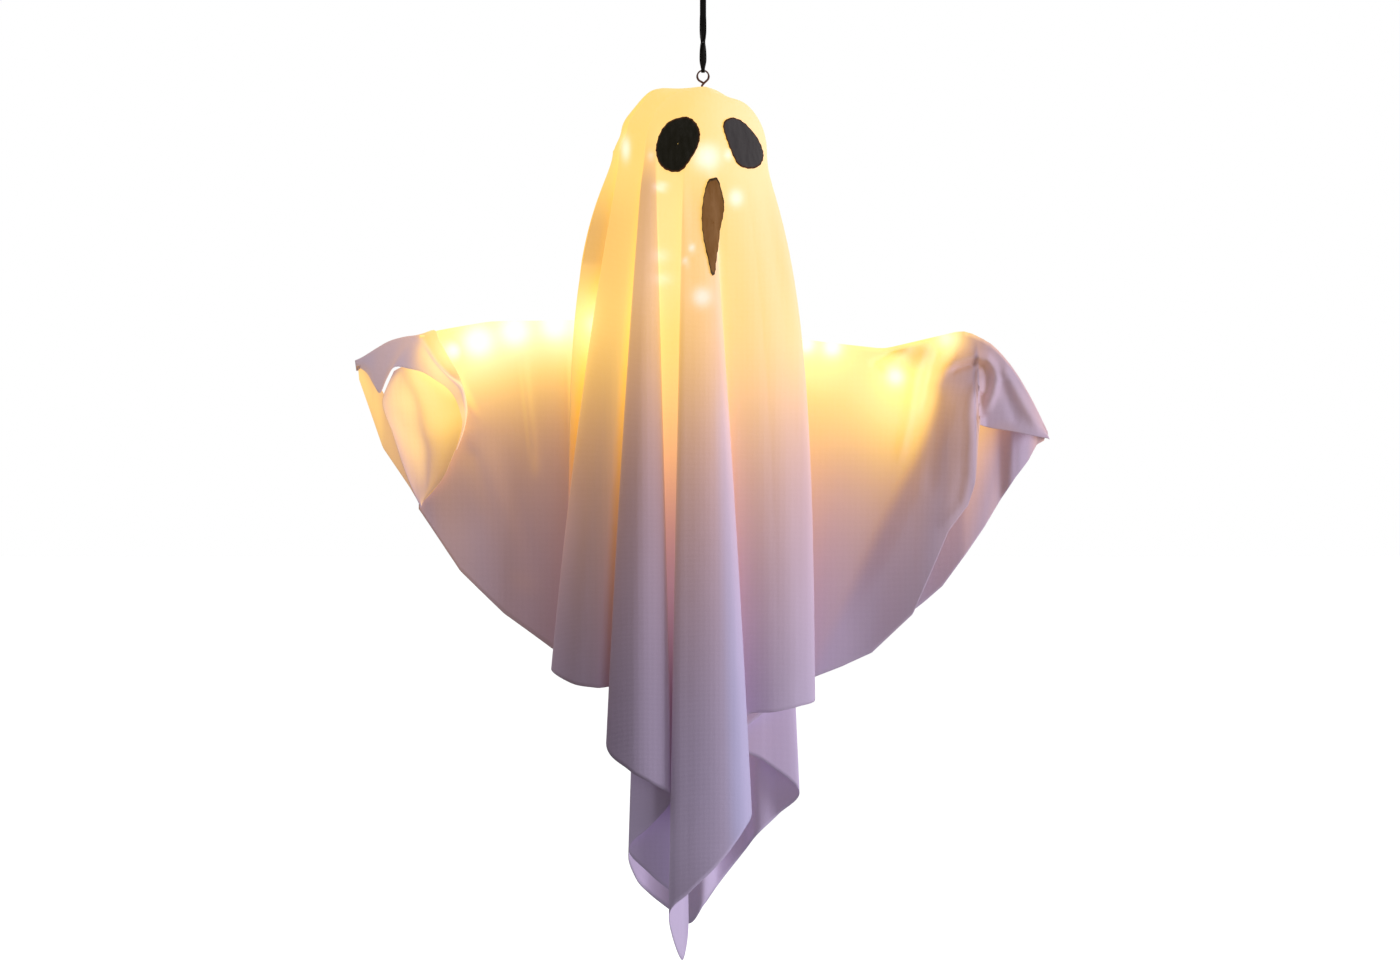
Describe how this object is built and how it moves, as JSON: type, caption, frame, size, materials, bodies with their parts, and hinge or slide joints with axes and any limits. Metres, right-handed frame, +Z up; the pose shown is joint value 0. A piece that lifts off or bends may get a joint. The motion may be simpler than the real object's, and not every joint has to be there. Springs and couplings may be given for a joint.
{
  "type": "hanging ghost light",
  "caption": "Bed-sheet ghost that hangs from a ribbon loop, with felt eyes and mouth, posable wire arms under the cloth, and battery string lights inside that make it glow.",
  "frame": {"origin": "middle of the hole of the tied ribbon loop that hangs on a hook", "axes": "+Z up, +X along the loop's hole and to the right in the picture, -Y towards the face's viewer"},
  "size_m": [0.5527, 0.2008, 0.8006],
  "materials": {
    "ribbon": "satin",
    "bronze": "satin",
    "foam": "matte",
    "dowel": "matte",
    "white_plastic": "satin",
    "steel_wire": "satin",
    "cloth": "matte",
    "black_felt": "matte",
    "brown_felt": "matte",
    "copper_wire": "satin",
    "led_resin": "gloss",
    "tie": "matte",
    "black_plastic": "satin",
    "battery_skin": "gloss",
    "contact_metal": "satin",
    "switch_plastic": "satin",
    "rubber": "matte"
  },
  "bodies": {
    "hanger": {"hang_loop": "ribbon", "hang_knot": "ribbon"},
    "ribbon": {"hang_ribbon": "ribbon"},
    "ghost": {"screw_eye": "bronze", "head_ball": "foam", "stem": "dowel", "shoulder_hub": "white_plastic", "front_drape": "cloth", "back_drape": "cloth", "left_eye": "black_felt", "right_eye": "black_felt", "mouth": "brown_felt", "head_strand": "copper_wire", "left_lead": "copper_wire", "right_lead": "copper_wire", "head_leds": "led_resin", "battery_case": "black_plastic", "batteries": "battery_skin", "contact_springs": "contact_metal", "contact_plates": "contact_metal", "switch_body": "switch_plastic", "lead_grommets": "rubber"},
    "left_arm": {"left_arm_ball": "white_plastic", "left_arm_wire": "steel_wire", "left_strand": "copper_wire", "left_leds": "led_resin", "left_ties": "tie", "left_sleeve": "cloth"},
    "right_arm": {"right_arm_ball": "white_plastic", "right_arm_wire": "steel_wire", "right_strand": "copper_wire", "right_leds": "led_resin", "right_ties": "tie", "right_sleeve": "cloth"},
    "cover": {"battery_cover": "black_plastic"},
    "switch": {"switch_knob": "switch_plastic"}
  },
  "joints": [
    {"name": "ribbon_twist", "type": "hinge", "parent": "hanger", "child": "ribbon", "pos_m": [0, 0, -0.0171], "axis": [0, 0, 1], "range_deg": [-180, 180]},
    {"name": "swing", "type": "hinge", "parent": "ribbon", "child": "ghost", "pos_m": [0, 0, -0.0924], "axis": [1, 0, 0], "range_deg": [-40, 40]},
    {"name": "left_arm_raise", "type": "hinge", "parent": "ghost", "child": "left_arm", "pos_m": [-0.017, 0, -0.3], "axis": [0, 1, 0], "range_deg": [-35, 25], "deforming": ["left_sleeve"]},
    {"name": "right_arm_raise", "type": "hinge", "parent": "ghost", "child": "right_arm", "pos_m": [0.017, 0, -0.3], "axis": [0, -1, 0], "range_deg": [-35, 25], "deforming": ["right_sleeve"]},
    {"name": "cover_slide", "type": "slide", "parent": "ghost", "child": "cover", "axis": [0, 0, -1], "range_m": [0, 0.05]},
    {"name": "switch_slide", "type": "slide", "parent": "ghost", "child": "switch", "axis": [1, 0, 0], "range_m": [0, 0.004]}
  ]
}
